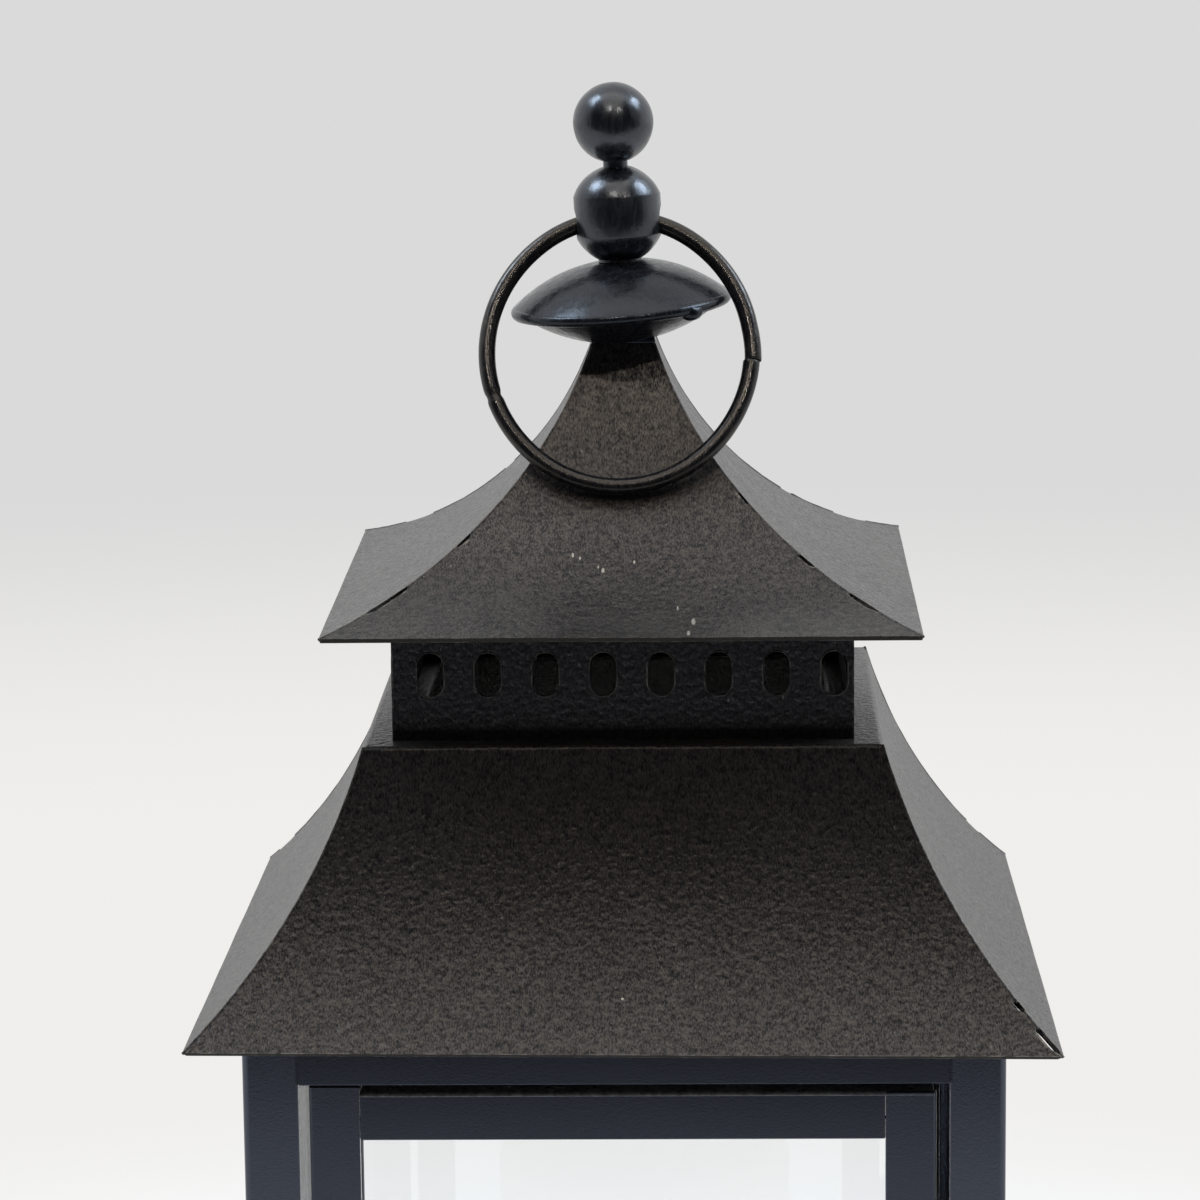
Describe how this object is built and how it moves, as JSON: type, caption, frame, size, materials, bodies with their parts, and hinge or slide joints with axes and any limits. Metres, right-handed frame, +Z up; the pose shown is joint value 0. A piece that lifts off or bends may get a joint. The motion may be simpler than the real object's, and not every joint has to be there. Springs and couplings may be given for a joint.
{
  "type": "hanging candle lantern",
  "caption": "Square black metal candle lantern with glass sides, hinged door, vented two-tier curved roof, ball finial and a wire hanging ring.",
  "frame": {"origin": "centre of the foot on the table", "axes": "+Z up to the finial, door on the -Y side"},
  "size_m": [0.1422, 0.1422, 0.3204],
  "materials": {
    "hammered_black": "brown-black hammered powder coat",
    "satin_black": "smooth satin blue-black paint",
    "finial_black": "satin black paint over turned and bent metal",
    "clear_glass": "clear float glass with a faint green edge",
    "zinc_steel": "zinc-plated steel",
    "wax": "ivory wax",
    "wick_cotton": "burnt cotton wick"
  },
  "bodies": {
    "lantern": {"base_plate": "satin_black", "base_rivets": "zinc_steel", "base_skirt_back": "satin_black", "base_skirt_front": "satin_black", "base_skirt_left": "satin_black", "base_skirt_right": "satin_black", "bottom_rail_back": "satin_black", "bottom_rail_front": "satin_black", "bottom_rail_left": "satin_black", "bottom_rail_right": "satin_black", "candle_cup": "zinc_steel", "corner_post_back_left": "satin_black", "corner_post_back_right": "satin_black", "corner_post_front_left": "satin_black", "corner_post_front_right": "satin_black", "cup_rivet": "zinc_steel", "finial_ball": "finial_black", "finial_bead": "finial_black", "finial_stud": "zinc_steel", "glass_clips_lower": "zinc_steel", "glass_clips_upper": "zinc_steel", "glass_pane_back": "clear_glass", "glass_pane_left": "clear_glass", "glass_pane_right": "clear_glass", "hinge_leaves_post": "satin_black", "hinge_pins": "zinc_steel", "lower_roof_back": "hammered_black", "lower_roof_front": "hammered_black", "lower_roof_left": "hammered_black", "lower_roof_right": "hammered_black", "neck_cap": "satin_black", "roof_tabs": "satin_black", "saucer_lower": "finial_black", "saucer_upper": "finial_black", "stud_nut": "zinc_steel", "top_rail_back": "satin_black", "top_rail_front": "satin_black", "top_rail_left": "satin_black", "top_rail_right": "satin_black", "upper_roof_back": "hammered_black", "upper_roof_front": "hammered_black", "upper_roof_left": "hammered_black", "upper_roof_right": "hammered_black", "vent_wall_back": "hammered_black", "vent_wall_front": "hammered_black", "vent_wall_left": "hammered_black", "vent_wall_right": "hammered_black"},
    "door": {"door_stile_latch": "satin_black", "door_stile_hinge": "satin_black", "door_top_rail": "satin_black", "door_bottom_rail": "satin_black", "door_glass": "clear_glass", "door_glass_clips": "zinc_steel", "hinge_leaves_door": "satin_black"},
    "latch": {"latch_knob": "finial_black", "latch_tongue": "zinc_steel"},
    "ring": {"hanging_ring": "finial_black"},
    "candle_set": {"candle": "wax", "candle_wick": "wick_cotton"}
  },
  "joints": [
    {"name": "door_swing", "type": "hinge", "parent": "lantern", "child": "door", "pos_m": [0.0522, -0.0641, 0.09149], "axis": [0, 0, 1], "range_deg": [0, 150]},
    {"name": "latch_turn", "type": "hinge", "parent": "door", "child": "latch", "pos_m": [-0.0492, -0.0625, 0.09149], "axis": [0, 1, 0], "range_deg": [0, 90]},
    {"name": "ring_swing", "type": "hinge", "parent": "lantern", "child": "ring", "pos_m": [0, 0, 0.29637], "axis": [-1, 0, 0], "range_deg": [0, 307.6]},
    {"name": "candle_lift", "type": "slide", "parent": "lantern", "child": "candle_set", "axis": [0, 0, 1], "range_m": [0, 0.03]}
  ]
}
